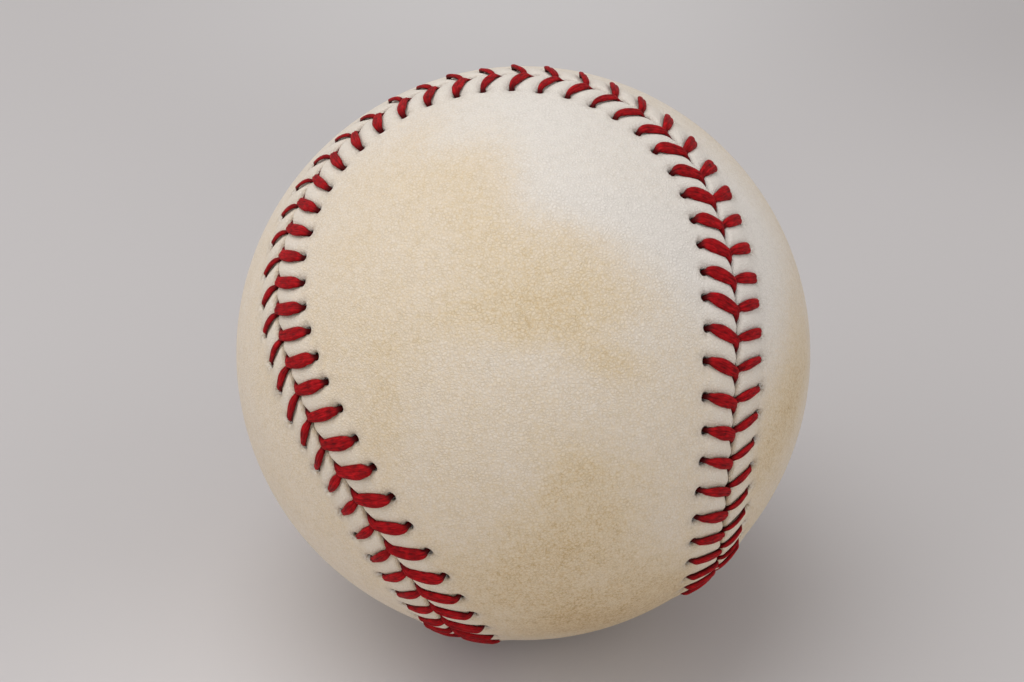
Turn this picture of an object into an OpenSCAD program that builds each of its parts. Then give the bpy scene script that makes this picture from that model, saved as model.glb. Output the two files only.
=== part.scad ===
// A hand-stitched baseball, in millimetres, with its origin at the ball's centre and +Z up.
// A cushioned cork centre is wound with four layers of yarn and covered with two
// dumbbell-shaped leather panels, which a waxed thread, worked with two needles, laces edge to edge.

/* [Ball] */
// Distance round the ball, measured over the leather
ball_girth = 232; // [228:0.5:236]
// Thickness of the leather cover
leather_thick = 1.3; // [1.2:0.05:1.4]

/* [Seam] */
// Angular radius of a panel's round lobe, in degrees
lobe_angle = 46; // [45:0.25:46.5]
// Angle from the middle of a panel's waist to its edge, in degrees
waist_angle = 27.9; // [27.5:0.1:29]
// Gap between the edges of the two panels
seam_gap = 0.7; // [0.7:0.05:1]
// Turn of the ball about X, in degrees, which shows one lobe to the front
seam_turn_x = 144.8; // [0:0.1:360]
// Turn of the ball about Y, in degrees
seam_turn_y = 14; // [0:0.1:360]
// Turn of the ball about Z, in degrees
seam_turn_z = 43.9; // [0:0.1:360]

/* [Lacing] */
// Number of double stitches round the seam, an even number
stitch_count = 108; // [100:2:112]
// Distance from the middle of the seam to a stitch hole
hole_reach = 4.8; // [4.4:0.1:5.2]
// How far ahead of its holes a stitch dives into the seam
stitch_lead = 1.2; // [1:0.1:1.4]
// Distance between the two threads where they dive side by side
dive_step = 1.02; // [1:0.02:1.1]
// Diameter of the waxed thread where it is pulled tight
neck_d = 0.6; // [0.5:0.02:0.6]
// Diameter of the thread at a bend
bend_d = 0.92; // [0.9:0.01:0.96]
// Diameter of a stitch at its middle, where the thread swells
swell_d = 0.9; // [0.7:0.05:1]
// Clearance of the thread from the leather and the yarn
thread_fit = 0.05; // [0.03:0.01:0.05]

/* [Windings] */
// Thickness of the finishing winding of cotton yarn
finishing_thick = 1.4; // [1.3:0.05:1.8]
// Room beside the stitch holes in the channel that the thread presses into the yarn
channel_side = 1; // [0.7:0.1:1.5]
// Thickness of the third winding of grey wool
grey_outer_thick = 2.3; // [1.5:0.1:3]
// Thickness of the second winding of white wool
white_thick = 1.8; // [1:0.1:2.5]
// Clearance between one layer and the next
layer_fit = 0.05; // [0.02:0.01:0.1]

/* [Centre] */
// Diameter of the cork ball
cork_d = 20.6; // [18:0.1:22]
// Thickness of the black rubber cups
cup_thick = 4; // [3:0.1:5]
// Thickness of the rubber ring between the cups
ring_thick = 1.6; // [1:0.1:2.5]
// Thickness of the red rubber layer
red_thick = 2.4; // [1.5:0.1:3]

/* [Hidden] */

// Smoothness of the large spheres and of the thread
ball_facets = 120;
thread_facets = 16;
// How far a rod starts clear of a bend's middle, as a share of its radius
clear_share = 0.03;

// Radii of the cover and of each layer under it, from the outside in
ball_r = ball_girth / (2 * PI);
cover_in_r = ball_r - leather_thick;
finishing_r = cover_in_r - layer_fit;
grey_outer_r = finishing_r - finishing_thick - layer_fit;
white_r = grey_outer_r - grey_outer_thick - layer_fit;
grey_inner_r = white_r - white_thick - layer_fit;

// Radii of the centre's layers, from the inside out
cork_r = cork_d / 2;
cup_in_r = cork_r + layer_fit;
cup_r = cup_in_r + cup_thick;
red_in_r = cup_r + layer_fit;
red_r = red_in_r + red_thick;
pill_r = red_r + layer_fit;
far = 2 * ball_r;

// The seam, on a sphere of radius 1, with its four crossings on the X and Y axes.
// Each panel has two round lobes; the first panel's rise by lobe_lift and the second's sink by it.
lobe_lift = 90 - waist_angle - lobe_angle;
lobe_flat_share = cos(lobe_lift) / sqrt(2);
lobe_axis = [lobe_flat_share, lobe_flat_share, sin(lobe_lift)];
lobe_top_share = cos(lobe_lift + lobe_angle) / sqrt(2);
lobe_top = [lobe_top_share, lobe_top_share, sin(lobe_lift + lobe_angle)];
axis_reach = norm([lobe_axis[1], lobe_axis[2]]);
axis_slope = atan2(lobe_axis[2], lobe_axis[1]);

// A straight link of the seam crosses the X axis, leaning by this angle so that it touches a lobe
function link_lean(angle) = axis_slope - acos(sin(angle) / axis_reach);
lean = link_lean(lobe_angle);
link_way = [0, -sin(lean), cos(lean)];
link_normal = [0, cos(lean), sin(lean)];
touch_point = unit(lobe_axis - (lobe_axis * link_normal) * link_normal);
link_length = acos(touch_point[0]);

// The lobe's arc runs round lobe_axis from touch_point over lobe_top
touch_side = unit(touch_point - (touch_point * lobe_axis) * lobe_axis);
touch_turn = cross(lobe_axis, touch_side);
half_arc = atan2(lobe_top * touch_turn, lobe_top * touch_side);
arc_way = sign(half_arc);
arc_length = 2 * abs(half_arc) * sin(lobe_angle);
quarter_length = 2 * link_length + arc_length;
stitch_pitch = 4 * quarter_length / stitch_count;

// Where the first stitch lies, as a share of a pitch past a crossing
stitch_start_share = 0.34;
// Step, in degrees, over which the seam's direction is taken
way_step = 0.05;

// Angles of the stitch holes, of the lead and of the step between threads
degrees = 180 / (PI * ball_r);
hole_angle = hole_reach * degrees;
lead_angle = stitch_lead * degrees;
half_step_angle = dive_step * degrees / 2;

// The cut edge's straight part leans a little more, so that it crosses the lobe's edge cleanly
blend_angle = 0.25;
cut_lean = link_lean(lobe_angle - blend_angle);
slab_height = touch_point[2] * ball_r;

// Levels of the thread's bars over the leather and of its feet under it
neck_r = neck_d / 2;
swell_r = swell_d / 2;
bend_r = bend_d / 2;
over_level = ball_r + max(swell_r, bend_r) + thread_fit;
leather_middle_r = ball_r - leather_thick / 2;
under_level = cover_in_r - bend_r - 2 * thread_fit;

// The channel under the seam is deep enough for the thread's feet and for the sag between them
foot_sag = hole_reach * hole_reach / (2 * under_level);
channel_r = under_level - max(bend_r, neck_r + foot_sag) - thread_fit;
channel_reach = hole_reach + bend_r + channel_side;

// A hole is radial and the thread in it leans a little, which takes some more room
hole_r = neck_r + thread_fit + leather_thick * hole_reach / (4 * ball_r);

function unit(v) = v / norm(v);

function link_point(angle) = [cos(angle), 0, 0] + sin(angle) * link_way;

function arc_point(angle) = cos(lobe_angle) * lobe_axis
    + sin(lobe_angle) * (cos(arc_way * angle) * touch_side + sin(arc_way * angle) * touch_turn);

function swap_xy(p) = [p[1], p[0], p[2]];

function quarter_point(s) = s < link_length ? link_point(s)
    : s < link_length + arc_length ? arc_point((s - link_length) / sin(lobe_angle))
    : swap_xy(link_point(quarter_length - s));

function turned(p, quarter) = quarter == 0 ? p
    : quarter == 1 ? [-p[1], p[0], -p[2]]
    : quarter == 2 ? [-p[0], -p[1], p[2]]
    : [p[1], -p[0], -p[2]];

// A point of the seam at s degrees from its first crossing
function wrapped(s) = s - 4 * quarter_length * floor(s / (4 * quarter_length));
function seam_quarter(s) = min(3, floor(wrapped(s) / quarter_length));
function seam_point(s) = turned(quarter_point(wrapped(s) - seam_quarter(s) * quarter_length), seam_quarter(s));
function seam_way(s) = unit(seam_point(s + way_step) - seam_point(s - way_step));

// A point beside the seam: positive offsets are on the second panel
function beside(s, offset) = cos(offset) * seam_point(s)
    + sin(offset) * cross(seam_point(s), seam_way(s));

// Stitch k's place, the hole on one side (1 or -1) and its dive into the seam.
// The stitches run against the direction in which s grows.
function stitch_place(k) = (stitch_start_share - k) * stitch_pitch;
function hole_point(k, side) = beside(stitch_place(k), side * hole_angle);
function dive_point(k, side) = seam_point(stitch_place(k) - lead_angle + side * half_step_angle);

module turn_ball() {
    rotate([seam_turn_x, seam_turn_y, seam_turn_z])
        children();
}

module layer(outer_r, inner_r) {
    difference() {
        sphere(r = outer_r, $fn = ball_facets);
        sphere(r = inner_r, $fn = ball_facets);
    }
}

// Puts its children's Z axis halfway between two directions and their X axis along the step between
module stand_between(p, q) {
    up = unit(p + q);
    ahead = unit(q - p);
    polar = acos(up[2]);
    azimuth = atan2(up[1], up[0]);
    south = [cos(polar) * cos(azimuth), cos(polar) * sin(azimuth), -sin(polar)];
    east = [-sin(azimuth), cos(azimuth), 0];
    rotate([0, polar, azimuth])
        rotate([0, 0, atan2(ahead * east, ahead * south)])
            children();
}

function half_span(p, q) = leather_middle_r * norm(q - p) / 2;
function foot(p, q, way) = unit(p + q) * under_level + way * unit(q - p) * half_span(p, q);

// A rod of a given length up the Z axis, which may swell halfway.
// It starts just clear of each end's middle, so that rods which meet in a bend don't cross.
module rod(length, middle_r) {
    start = neck_r * (1 + clear_share);
    end = length - start;
    rotate_extrude($fn = thread_facets)
        polygon([[0, start], [neck_r, start], [middle_r, length / 2], [neck_r, end], [0, end]]);
}

module bend() {
    sphere(r = bend_r, $fn = thread_facets);
}

// The thread where it rises through a hole, lies over the leather and dives into the seam
module over_run(k, side) {
    hole = hole_point(k, side);
    dive = dive_point(k, side);
    span = half_span(hole, dive);
    stand_between(hole, dive)
        union() {
            for (end = [-span, span]) {
                translate([end, 0, under_level])
                    bend();
                translate([end, 0, under_level])
                    rod(over_level - under_level, neck_r);
                translate([end, 0, over_level])
                    bend();
            }
            translate([-span, 0, over_level])
                rotate([0, 90, 0])
                    rod(2 * span, swell_r);
        }
}

// The thread from the foot of its dive to the foot of its next hole, under the other panel
module under_run(k, side) {
    dive_foot = foot(hole_point(k, side), dive_point(k, side), 1);
    next_foot = foot(hole_point(k + 1, -side), dive_point(k + 1, -side), -1);
    v = next_foot - dive_foot;
    translate(dive_foot)
        rotate([0, acos(v[2] / norm(v)), atan2(v[1], v[0])])
            rod(norm(v), neck_r);
}

// Every second stitch of a thread is on the other side of the seam
function thread_side(k, first_side) = k % 2 == 0 ? first_side : -first_side;

module lacing_thread(first_side) {
    turn_ball()
        for (k = [0 : stitch_count - 1]) {
            over_run(k, thread_side(k, first_side));
            under_run(k, thread_side(k, first_side));
        }
}

// All space on one side of a seam link's plane, back from it by a setback
module beyond_link(setback) {
    rotate([cut_lean, 0, 0])
        translate([-far, setback, -far])
            cube([2 * far, far, 2 * far]);
}

module lobe_cone(azimuth, lift, angle) {
    rotate([0, 90 - lift, azimuth])
        cylinder(h = far, r1 = 0, r2 = far * tan(angle), $fn = ball_facets);
}

// The band of a panel between two links, either side of the X-Y plane
module link_band(setback) {
    intersection() {
        beyond_link(setback);
        mirror([1, -1, 0])
            beyond_link(setback);
        translate([-far, -far, -2 * slab_height])
            cube([2 * far, 2 * far, 3 * slab_height]);
    }
}

// All directions that the first panel covers, back from the seam by a setback:
// two lobes above, joined by the panel's waist below
module panel_region(setback) {
    setback_angle = setback * degrees;
    difference() {
        union() {
            link_band(setback);
            rotate([0, 0, 180])
                link_band(setback);
            translate([-far, -far, -far - slab_height])
                cube([2 * far, 2 * far, far]);
        }
        for (azimuth = [-45, 135])
            lobe_cone(azimuth, -lobe_lift, lobe_angle + setback_angle);
    }
    for (azimuth = [45, 225])
        lobe_cone(azimuth, lobe_lift, lobe_angle - setback_angle);
}

// The second panel is the first one turned over about a crossing
module turn_over() {
    rotate([180, 0, 0])
        children();
}

module stitch_holes(side) {
    for (k = [0 : stitch_count - 1]) {
        hole = hole_point(k, side);
        rotate([0, acos(hole[2]), atan2(hole[1], hole[0])])
            translate([0, 0, under_level])
                cylinder(h = over_level - under_level, r = hole_r, $fn = thread_facets);
    }
}

module cork_core() {
    color("tan")
        sphere(r = cork_r, $fn = ball_facets);
}

module rubber_cup() {
    intersection() {
        layer(cup_r, cup_in_r);
        translate([-far, -far, ring_thick / 2 + layer_fit])
            cube([2 * far, 2 * far, far]);
    }
}

module upper_rubber_cup() {
    color("dimgray")
        rubber_cup();
}

module lower_rubber_cup() {
    color("black")
        mirror([0, 0, 1])
            rubber_cup();
}

module cup_joint_ring() {
    color("firebrick")
        intersection() {
            layer(cup_r, cup_in_r);
            translate([-far, -far, -ring_thick / 2])
                cube([2 * far, 2 * far, ring_thick]);
        }
}

module red_rubber_cover() {
    color("indianred")
        layer(red_r, red_in_r);
}

module inner_grey_winding() {
    color("gray")
        layer(grey_inner_r, pill_r);
}

module white_wool_winding() {
    color("gainsboro")
        layer(white_r, grey_inner_r + layer_fit);
}

module outer_grey_winding() {
    color("darkgray")
        layer(grey_outer_r, white_r + layer_fit);
}

// The thread's runs under the leather press a channel into the last winding, along the seam
module finishing_winding() {
    color("whitesmoke")
        turn_ball()
            difference() {
                layer(finishing_r, grey_outer_r + layer_fit);
                difference() {
                    layer(ball_r, channel_r);
                    panel_region(channel_reach);
                    turn_over()
                        panel_region(channel_reach);
                }
            }
}

module first_leather_panel() {
    color("ivory")
        turn_ball()
            difference() {
                intersection() {
                    layer(ball_r, cover_in_r);
                    panel_region(seam_gap / 2);
                }
                stitch_holes(-1);
            }
}

module second_leather_panel() {
    color("antiquewhite")
        turn_ball()
            difference() {
                intersection() {
                    layer(ball_r, cover_in_r);
                    turn_over()
                        panel_region(seam_gap / 2);
                }
                stitch_holes(1);
            }
}

module first_lacing_thread() {
    color("firebrick")
        lacing_thread(-1);
}

module second_lacing_thread() {
    color("crimson")
        lacing_thread(1);
}

cork_core();
upper_rubber_cup();
lower_rubber_cup();
cup_joint_ring();
red_rubber_cover();
inner_grey_winding();
white_wool_winding();
outer_grey_winding();
finishing_winding();
first_leather_panel();
second_leather_panel();
first_lacing_thread();
second_lacing_thread();
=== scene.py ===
# %% [markdown]
# # A hand-sewn leather baseball
# The ball has a cork centre, rubber cups, three wool windings, a cotton finishing winding,
# two figure-eight leather panels and two waxed red lacing threads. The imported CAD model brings
# every one of these pieces as a solid. Here the outside gets its real surface: the leather
# swells between the stitches and the threads are pressed flat, and every layer gets a material.

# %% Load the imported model
import math

import bmesh
import bpy
import numpy as np
from mathutils import Matrix


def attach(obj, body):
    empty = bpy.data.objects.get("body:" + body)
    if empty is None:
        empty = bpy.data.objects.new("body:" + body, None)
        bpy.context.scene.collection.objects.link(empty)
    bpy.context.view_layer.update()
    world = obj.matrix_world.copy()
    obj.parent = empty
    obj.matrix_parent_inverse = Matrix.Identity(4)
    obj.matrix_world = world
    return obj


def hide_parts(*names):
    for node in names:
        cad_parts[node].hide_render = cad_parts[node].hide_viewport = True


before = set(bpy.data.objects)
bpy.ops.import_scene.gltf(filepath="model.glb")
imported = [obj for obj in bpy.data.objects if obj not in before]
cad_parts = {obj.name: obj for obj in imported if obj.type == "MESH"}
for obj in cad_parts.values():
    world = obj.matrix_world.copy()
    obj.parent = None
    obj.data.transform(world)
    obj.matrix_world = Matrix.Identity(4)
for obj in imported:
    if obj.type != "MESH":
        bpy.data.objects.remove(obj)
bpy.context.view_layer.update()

print("CAD nodes:", ", ".join(sorted(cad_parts)))

# %% [markdown]
# ## Sizes
# All lengths are written in millimetres, as a ball maker would give them, and are turned to
# metres at the very end. They repeat the sizes of the CAD source. The cover is measured round
# its girth, so the radius comes from the girth.

# %% Sizes of the ball in millimetres
MM = 0.001
GIRTH = 232.0
BALL_R = GIRTH / (2 * math.pi)
LEATHER = 1.3
STITCHES = 108
HOLE_REACH = 4.8
LOBE = math.radians(46.0)
WAIST = math.radians(27.9)
TURN_DEG = (144.8, 14.0, 43.9)
STITCH_START = 1 / 3
print(f"ball radius {BALL_R:.2f} mm, {STITCHES} pairs of stitches")

# %% [markdown]
# ## The camera
# The photograph looks down at the ball by 30 degrees from a little over 20 cm away. A camera
# could be placed with an empty and a Track To constraint, but its place is known as three
# directions, so its matrix is written out: right, up and back are the camera's own axes.

# %% Camera
WIDE, HIGH = 1024, 682
SENSOR = 36.0
FOCAL_PX = 1683.65
DISTANCE = 219.74
CENTRE_PX = (523.0, 352.8)
LOOK_DOWN = math.radians(30.0)

RIGHT = np.array([1.0, 0.0, 0.0])
UP = np.array([0.0, math.sin(LOOK_DOWN), math.cos(LOOK_DOWN)])
FORWARD = np.array([0.0, math.cos(LOOK_DOWN), -math.sin(LOOK_DOWN)])


def unit(v):
    return v / np.linalg.norm(v, axis=-1, keepdims=True)


def pixel_ray(x, y):
    """Direction from the camera through a pixel of the photograph."""
    return unit((x - WIDE / 2) / FOCAL_PX * RIGHT - (y - HIGH / 2) / FOCAL_PX * UP + FORWARD)


EYE = -DISTANCE * pixel_ray(*CENTRE_PX)
camera_data = bpy.data.cameras.new("camera")
camera_data.sensor_width = SENSOR
camera_data.lens = FOCAL_PX * SENSOR / WIDE
camera_data.clip_start = 0.01
camera_data.clip_end = 50
camera = bpy.data.objects.new("camera", camera_data)
axes = Matrix.Identity(4)
for column, axis in enumerate((RIGHT, UP, -FORWARD)):
    for row in range(3):
        axes[row][column] = axis[row]
for row in range(3):
    axes[row][3] = EYE[row] * MM
camera.matrix_world = axes
bpy.context.scene.collection.objects.link(camera)
bpy.context.scene.camera = camera
print(f"camera {DISTANCE:.0f} mm from the ball's middle, lens {camera_data.lens:.1f} mm")

# %% [markdown]
# ## The line of the seam
# The seam is one closed line. It runs round four lobes in turn as arcs of a circle, and
# straight links, which are great circles, join the arcs. Four copies of one quarter make the
# whole line. A curve object could carry it, but both covers, both threads and the winding
# under them have to agree on it to a hundredth of a millimetre, so it is a function.

# %% Seam as a function of the way along it
LIFT = math.pi / 2 - WAIST - LOBE
AXIS = np.array([math.cos(LIFT) / math.sqrt(2), math.cos(LIFT) / math.sqrt(2), math.sin(LIFT)])
TOP = np.array([math.cos(LIFT + LOBE) / math.sqrt(2)] * 2 + [math.sin(LIFT + LOBE)])
LEAN = math.atan2(AXIS[2], AXIS[1]) - math.acos(math.sin(LOBE) / math.hypot(AXIS[1], AXIS[2]))
LINK_WAY = np.array([0.0, -math.sin(LEAN), math.cos(LEAN)])
LINK_NORMAL = np.array([0.0, math.cos(LEAN), math.sin(LEAN)])
TOUCH = unit(AXIS - (AXIS @ LINK_NORMAL) * LINK_NORMAL)
LINK = math.acos(TOUCH[0])
TOUCH_SIDE = unit(TOUCH - (TOUCH @ AXIS) * AXIS)
TOUCH_TURN = np.cross(AXIS, TOUCH_SIDE)
HALF_ARC = math.atan2(TOP @ TOUCH_TURN, TOP @ TOUCH_SIDE)
ARC = 2 * abs(HALF_ARC) * math.sin(LOBE)
QUARTER = 2 * LINK + ARC
LENGTH = 4 * QUARTER
PITCH = LENGTH / STITCHES
PITCH_MM = PITCH * BALL_R


def seam_point(s):
    """Points of the seam on a ball of radius 1, s radians along it."""
    s = np.asarray(s, float) % LENGTH
    quarter = np.minimum((s // QUARTER).astype(int), 3)
    r = s - quarter * QUARTER
    after = r > LINK + ARC
    a = np.where(after, QUARTER - r, r)[..., None]
    link = np.cos(a) * np.array([1.0, 0, 0]) + np.sin(a) * LINK_WAY
    link = np.where(after[..., None], link[..., [1, 0, 2]], link)
    t = (math.copysign(1, HALF_ARC) * (r - LINK) / math.sin(LOBE))[..., None]
    ring = np.cos(t) * TOUCH_SIDE + np.sin(t) * TOUCH_TURN
    arc = math.cos(LOBE) * AXIS + math.sin(LOBE) * ring
    on_arc = ((r >= LINK) & ~after)[..., None]
    x, y, z = np.moveaxis(np.where(on_arc, arc, link), -1, 0)
    turned = [(x, y, z), (-y, x, -z), (-x, -y, z), (y, -x, -z)]
    return np.stack([np.choose(quarter, [q[i] for q in turned]) for i in range(3)], -1)


def spin(axis, degrees):
    c, s = math.cos(math.radians(degrees)), math.sin(math.radians(degrees))
    i, j = [(1, 2), (2, 0), (0, 1)][axis]
    m = np.eye(3)
    m[i, i], m[i, j], m[j, i], m[j, j] = c, -s, s, c
    return m


WORLD = spin(2, TURN_DEG[2]) @ spin(1, TURN_DEG[1]) @ spin(0, TURN_DEG[0])
print(f"seam {LENGTH * BALL_R:.0f} mm long, a stitch every {PITCH_MM:.2f} mm")

# %% [markdown]
# ## The sewer's hand
# A sewer pulls each stitch tight by hand, so the seam drifts sideways by about a millimetre
# round the ball, the spacing opens and closes, and single holes stray a little. Moving whole
# vertices by noise would tear threads from their holes. Here the ground itself is bent: every
# piece asks the same function where a place beside the seam lies, so all of them stray alike.

# %% Places beside the seam, with the strays of handwork
hand = np.random.default_rng(108)
STRAY_ALONG = hand.normal(0, 0.20, (2, STITCHES))
STRAY_ACROSS = hand.normal(0, 0.13, (2, STITCHES))
SEEN_FROM = 43
SEEN_ALONG = {
    1: [5, -9, -9, -9, -11, -16, -9, -11, -11, 0, -36, -44, -20, -8, 19, 19, -4, -8, -6, 10, 15, 14, 17, 22, 21,
        3, 20, 6, -3, -11, -6, 10, -2, 6, -18, -29, -55, -29, -25, 10, -7, -12, -26, -30, -8, 0, 6, 15, 23, -3],
    0: [0, 13, 20, 38, 20, 36, 8, -12, 10, 45, 76, 80, 49, 43, 9, 27, 17, -1, 1, 0, 12, 17, 21, 3, 35,
        42, 44, 50, 47, 34, 35, 50, 40, 17, 22, 9, 19, -16, -50, -4, -10, 17, -8, 5, -7, -22, -29, -24, -35, -40],
}
SEEN_ACROSS = {
    1: [-8, -21, -30, -27, -31, -27, -48, -33, -32, -31, -8, -27, -32, -29, -23, -6, -20, 5, -2, 6, -6, -1, -12, -16, -14,
        5, 4, 3, 9, -7, -14, -10, -35, -15, -30, -30, -38, -40, -15, 10, -2, -1, -12, -36, -30, -8, -1, -2, 10, 1],
    0: [0, -29, 5, -2, 5, -13, -29, -72, -96, -97, -105, -66, -92, -76, -69, -59, -46, -54, -30, 0, 13, 16, 14, 6, 4,
        4, 2, 3, 2, 9, 5, -8, 0, -8, -12, -8, -5, 0, 17, -2, 11, 22, 25, 5, -15, -30, -45, -55, -60, -60],
}
for row in (0, 1):
    seen = slice(SEEN_FROM, SEEN_FROM + len(SEEN_ALONG[row]))
    STRAY_ALONG[row, seen] = np.array(SEEN_ALONG[row]) / 100
    STRAY_ACROSS[row, seen] = np.array(SEEN_ACROSS[row]) / 100
SPACING = [(4, -0.338, -0.722)]
DRIFT = [(0, 0.802, 0), (1, 0.661, -0.195), (2, -0.305, 0.489)]
REACH_SECOND = [(0, -0.16, 0), (2, 0.224, 0.016)]
REACH_FIRST = [(0, -0.68, 0), (2, 0.083, 0.30)]
SLIP_AT, SLIP_WIDE, SLIP_ALONG, SLIP_ACROSS = 78, 3.2, -0.42, 0.32


def smooth(t):
    t = np.clip(t, 0, 1)
    return t * t * (3 - 2 * t)


def stitch_number(s):
    """How many stitches from the first one, as a real number; stitches run against s."""
    return STITCH_START - s / PITCH


def waves(turn, terms):
    """A sum of (turns round the seam, cosine mm, sine mm) waves."""
    return sum(a * np.cos(n * turn) + b * np.sin(n * turn) for n, a, b in terms)


def slip(s):
    """1 where the sewer's hand slipped, fading to 0 a few stitches away."""
    k = (stitch_number(s) - SLIP_AT + STITCHES / 2) % STITCHES - STITCHES / 2
    return np.exp(-((k / SLIP_WIDE) ** 2))


def near_holes(across):
    """1 at the holes, fading to 0 at the gap and farther out on the panel."""
    return np.clip((np.abs(across) - 0.4) / 4.2, 0, 1) * (1 - smooth((np.abs(across) - 5.6) / 3))


def stray(table, s, across):
    side = (across > 0).astype(int)
    k = stitch_number(s)
    low = np.floor(k).astype(int)
    a, b = table[side, low % STITCHES], table[side, (low + 1) % STITCHES]
    return (a + (b - a) * smooth(k - low)) * near_holes(across)


def ground(s, across):
    """Unit vector to the place s radians along the seam and across mm beside it.
    Positive places lie on the second panel."""
    s, across = np.broadcast_arrays(np.asarray(s, float), np.asarray(across, float))
    turn = 2 * math.pi * s / LENGTH
    along = s * BALL_R + waves(turn, SPACING) + stray(STRAY_ALONG, s, across) + SLIP_ALONG * slip(s)
    reach = stray(STRAY_ACROSS, s, across) + near_holes(across) * np.where(
        across > 0, waves(turn, REACH_SECOND), waves(turn, REACH_FIRST)
    )
    offset = (across + reach * np.sign(across) + waves(turn, DRIFT) + SLIP_ACROSS * slip(s)) / BALL_R
    along = along / BALL_R
    point = seam_point(along)
    way = unit(seam_point(along + 0.001) - seam_point(along - 0.001))
    offset = offset[..., None]
    return (np.cos(offset) * point + np.sin(offset) * np.cross(point, way)) @ WORLD.T


test = np.linspace(0, LENGTH, 7, endpoint=False)
print("seam drifts by up to", round(float(np.max(np.abs(ground(test, 0) - seam_point(test) @ WORLD.T))) * BALL_R, 1), "mm")

# %% [markdown]
# ## How a stitch lies
# Each V of the lacing has two legs. A leg rises out of its hole, lies on the leather as a
# flattened bar, and bends forward as it comes to the gap. The leg on the second panel runs on
# along the gap as a pointed tail; the leg on the first panel tucks in under it. Both covers
# and both threads need this shape: the leather is pressed down below each leg.

# %% Shape of a leg
LEAD = {1: 1.60, -1: 1.10}
BEND = {1: 1.30, -1: 1.25}
LEVEL_UNDER = -1.80


def leg_forward(side, across):
    """How far the middle of a leg lies ahead of its hole, and the slope of that line."""
    u = np.clip(1 - np.abs(across) / HOLE_REACH, 0, 1)
    ahead = LEAD[side] * u ** BEND[side]
    slope = LEAD[side] * BEND[side] / HOLE_REACH * u ** (BEND[side] - 1)
    return ahead, slope


print("a leg leads its hole by", LEAD[1], "mm on the second panel and", LEAD[-1], "mm on the first")

# %% [markdown]
# ## The swell of the leather
# Wet leather is sewn tight and dries hard. It stands up as a ridge on both sides of the gap,
# swells between the legs like small pillows, and its cut edges roll down into the gap. A
# sculpt or a cloth simulation could make this, but there are 216 places to get right, so the
# height is a formula: a ridge, less a valley under each leg, less the roll of the edge.

# %% Height of the leather over the ball's radius
RIDGE = 0.42
RIDGE_START = 6.9
ROLL = 0.70
GAP_CLOSED, GAP_OPEN = 0.13, 0.34
pull = np.random.default_rng(27)
PULL = 1 + pull.normal(0, 0.10, (2, STITCHES))
SWELL = 1 + pull.normal(0, 0.08, (2, STITCHES))


def ahead_of_stitch(s):
    """Distance in mm ahead of the stitch before, and that stitch's number."""
    k = stitch_number(s)
    low = np.floor(k)
    return (k - low) * PITCH_MM, low.astype(int)


def gap_half(s):
    """Half width of the gap at the surface: it opens where the tail of a leg sinks into it."""
    m, _ = ahead_of_stitch(s)
    opened = smooth((m - 0.5) / 0.8) * (1 - smooth((m - 2.5) / 0.9))
    return GAP_CLOSED + (GAP_OPEN - GAP_CLOSED) * opened


def leather_height(side, s, across):
    m, k = ahead_of_stitch(s)
    row = int(side > 0)
    rise = smooth((RIDGE_START - across) / (RIDGE_START - 2.4))
    low, high = k % STITCHES, (k + 1) % STITCHES
    blend = smooth(m / PITCH_MM)
    swell = SWELL[row, low] * (1 - blend) + SWELL[row, high] * blend
    height = RIDGE * rise * swell
    ahead, slope = leg_forward(side, across)
    bottom = np.interp(across, [0, 1.2, 3.0, 4.4, 4.8, 5.6], [-0.02, 0.03, 0.02, -0.06, -0.16, -0.10])
    past = np.clip(across - HOLE_REACH, 0, None)
    for shift, number in ((0.0, low), (PITCH_MM, high)):
        d = (m - shift - ahead) / np.sqrt(1 + slope * slope)
        spread = 0.86 + 0.10 * past
        press = np.exp(-np.abs(d / spread) ** 2.6) * np.exp(-(past / 0.75) ** 2)
        depth = bottom * PULL[row, number]
        height = height + (depth - height) * press
    t = np.clip((across - gap_half(s)) / ROLL, 0, 1)
    return height - 0.62 * (1 - np.sqrt(1 - (1 - t) ** 2))


print(f"the ridge stands {RIDGE} mm over the ball")

# %% [markdown]
# ## The mesh of a panel
# The sheet is built in rows beside the seam, twelve columns to a stitch, so that the pillows
# and holes keep the same clean faces all round the ball. Farther in the rows run together
# towards the middle line of the panel and the columns are halved twice. Round each hole the
# rows are bent into rings, so the hole is a real opening that goes down through the leather.

# %% Rows and columns of the panel
PER_STITCH = 12
COLUMNS = STITCHES * PER_STITCH
STEP = PITCH_MM / PER_STITCH
FINE = [HOLE_REACH + STEP * n for n in range(-13, 5)] + [6.35, 6.75]
HOLE_ROW = 13
EDGE = [0.0, 0.05, 0.16, 0.34, 0.62]
RINGS = {1: (0.43, 1.0), 2: (0.63, 1.0), 3: (0.93, 0.6)}
HOLE_PULL = {1: 0.22, 2: 0.23, 3: 0.10}
SLERP_ROWS = 14


def ring_moves():
    """Moves (column, row, along mm, across mm) that bend the rows round a hole into rings."""
    moves = []
    for a in range(-3, 4):
        for b in range(-3, 4):
            ring = max(abs(a), abs(b))
            if ring:
                radius, share = RINGS[ring]
                square = np.array([a, b]) * STEP
                circle = square / np.linalg.norm(square) * radius
                circle[1] += HOLE_PULL[ring]
                move = (circle - square) * share
                moves.append((a, b, ring, move[0], move[1]))
    return moves


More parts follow.
